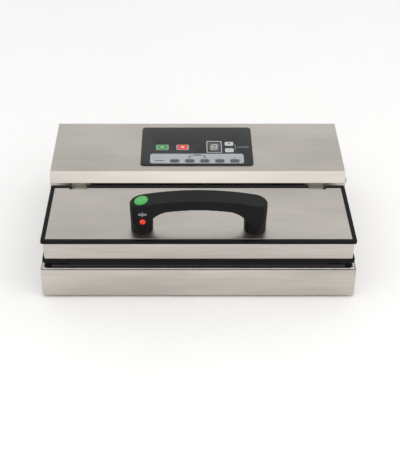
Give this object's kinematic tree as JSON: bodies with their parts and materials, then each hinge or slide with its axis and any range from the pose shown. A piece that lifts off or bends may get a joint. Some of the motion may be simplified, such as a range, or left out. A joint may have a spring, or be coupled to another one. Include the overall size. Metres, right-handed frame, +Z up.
{
  "type": "vacuum sealer",
  "caption": "Stainless countertop vacuum sealer: hinged lid with an arched handle, seal bar, vacuum trough, and a rear housing with a sloping control panel.",
  "frame": {"origin": "on the surface that the feet stand on, under the middle of the base", "axes": "+X to the right along the lid, +Y to the rear housing, +Z up"},
  "size_m": [0.434, 0.3028, 0.1456],
  "materials": {
    "steel": "brushed stainless steel sheet",
    "inner_steel": "plain stainless steel, 2B finish",
    "zinc_steel": "zinc plated steel",
    "black_trim": "black moulded ABS, satin",
    "black_handle": "black moulded nylon, fine grain",
    "black_plastic": "black plastic",
    "grey_liner": "dark grey moulded ABS",
    "foam": "closed-cell foam gasket",
    "silicone": "silicone sealing strip",
    "feet_rubber": "black rubber",
    "bar": "phenolic seal bar",
    "nichrome": "bright nichrome ribbon",
    "ptfe": "brown coated glass cloth",
    "panel_film": "dark grey polyester overlay",
    "strip_film": "light grey printed strip",
    "green_key": "green key",
    "red_key": "red key",
    "grey_key": "light grey key",
    "dark_key": "dark grey key",
    "green_button": "green button",
    "red_lens": "red lamp lens",
    "lamp_lens": "clear lamp lens",
    "bezel": "light grey display frame",
    "display": "dark display",
    "board": "green circuit board",
    "motor_paint": "black painted motor can",
    "cast_alloy": "die-cast aluminium",
    "core_steel": "laminated steel",
    "copper": "enamelled copper winding",
    "hose": "grey silicone hose",
    "soft_clear": "translucent silicone",
    "black_deck": "black moulded ABS deck"
  },
  "bodies": {
    "base": {"base_shell": "steel", "bottom_plate": "zinc_steel", "case_screws": "zinc_steel", "rubber_feet": "feet_rubber", "deck_rim": "inner_steel", "chamber_deck": "black_deck", "rim_rivets": "black_plastic", "lower_gasket": "foam", "seal_bar": "bar", "heating_strip": "nichrome", "release_tape": "ptfe", "housing_cover": "steel", "hinge_arm_left": "zinc_steel", "hinge_arm_right": "zinc_steel", "control_panel": "panel_film", "function_strip": "strip_film", "display_bezel": "bezel", "digit_display": "display", "power_lamp": "lamp_lens", "control_board": "board", "key_switches": "black_plastic", "pump_motor": "motor_paint", "pump_head_left": "cast_alloy", "pump_head_right": "cast_alloy", "pump_cradle": "zinc_steel", "vacuum_hose": "hose", "tray_port": "cast_alloy", "release_valve": "black_plastic", "transformer_core": "core_steel", "transformer_coil": "copper", "fan_frame": "black_plastic", "mains_inlet": "black_plastic", "power_switch": "black_plastic", "side_port": "cast_alloy", "port_plug": "soft_clear"},
    "lid": {"lid_plate": "steel", "lid_trim": "black_trim", "lid_skirt": "steel", "lid_lower_frame": "black_trim", "lid_liner": "grey_liner", "upper_gasket": "foam", "seal_pad": "silicone", "hinge_ears": "zinc_steel", "hinge_pins": "zinc_steel", "handle": "black_handle", "handle_screws": "zinc_steel", "handle_switch": "black_plastic", "seal_lamp": "red_lens"},
    "seal_button": {"seal_button": "green_button"},
    "start_key": {"start_key": "green_key"},
    "stop_key": {"stop_key": "red_key"},
    "plus_key": {"plus_key": "grey_key"},
    "minus_key": {"minus_key": "grey_key"},
    "mode_key_1": {"mode_key_1": "dark_key"},
    "mode_key_2": {"mode_key_2": "dark_key"},
    "mode_key_3": {"mode_key_3": "dark_key"},
    "mode_key_4": {"mode_key_4": "dark_key"},
    "mode_key_5": {"mode_key_5": "dark_key"},
    "power_rocker": {"power_rocker": "black_plastic"},
    "fan_rotor": {"fan_rotor": "black_plastic"}
  },
  "joints": [
    {"name": "lid_hinge", "type": "hinge", "parent": "base", "child": "lid", "pos_m": [0, -0.0192, 0.08], "axis": [-1, 0, 0], "range_deg": [0, 70]},
    {"name": "seal_button_press", "type": "slide", "parent": "lid", "child": "seal_button", "axis": [0.1838, 0, -0.983], "range_m": [0, 0.0015], "stiffness_N_per_m": 400},
    {"name": "start_key_press", "type": "slide", "parent": "base", "child": "start_key", "axis": [0, 0.0367, -0.9993], "range_m": [0, 0.0005], "stiffness_N_per_m": 400},
    {"name": "stop_key_press", "type": "slide", "parent": "base", "child": "stop_key", "axis": [0, 0.0367, -0.9993], "range_m": [0, 0.0005], "stiffness_N_per_m": 400},
    {"name": "plus_key_press", "type": "slide", "parent": "base", "child": "plus_key", "axis": [0, 0.0367, -0.9993], "range_m": [0, 0.0005], "stiffness_N_per_m": 400},
    {"name": "minus_key_press", "type": "slide", "parent": "base", "child": "minus_key", "axis": [0, 0.0367, -0.9993], "range_m": [0, 0.0005], "stiffness_N_per_m": 400},
    {"name": "mode_key_1_press", "type": "slide", "parent": "base", "child": "mode_key_1", "axis": [0, 0.0367, -0.9993], "range_m": [0, 0.0005], "stiffness_N_per_m": 400},
    {"name": "mode_key_2_press", "type": "slide", "parent": "base", "child": "mode_key_2", "axis": [0, 0.0367, -0.9993], "range_m": [0, 0.0005], "stiffness_N_per_m": 400},
    {"name": "mode_key_3_press", "type": "slide", "parent": "base", "child": "mode_key_3", "axis": [0, 0.0367, -0.9993], "range_m": [0, 0.0005], "stiffness_N_per_m": 400},
    {"name": "mode_key_4_press", "type": "slide", "parent": "base", "child": "mode_key_4", "axis": [0, 0.0367, -0.9993], "range_m": [0, 0.0005], "stiffness_N_per_m": 400},
    {"name": "mode_key_5_press", "type": "slide", "parent": "base", "child": "mode_key_5", "axis": [0, 0.0367, -0.9993], "range_m": [0, 0.0005], "stiffness_N_per_m": 400},
    {"name": "power_rocker_tilt", "type": "hinge", "parent": "base", "child": "power_rocker", "pos_m": [-0.105, 0.1454, 0.03], "axis": [-1, 0, 0], "range_deg": [0, 16]},
    {"name": "fan_spin", "type": "hinge", "parent": "base", "child": "fan_rotor", "pos_m": [0.118, 0.1405, 0.072], "axis": [0, 1, 0], "continuous": true}
  ]
}
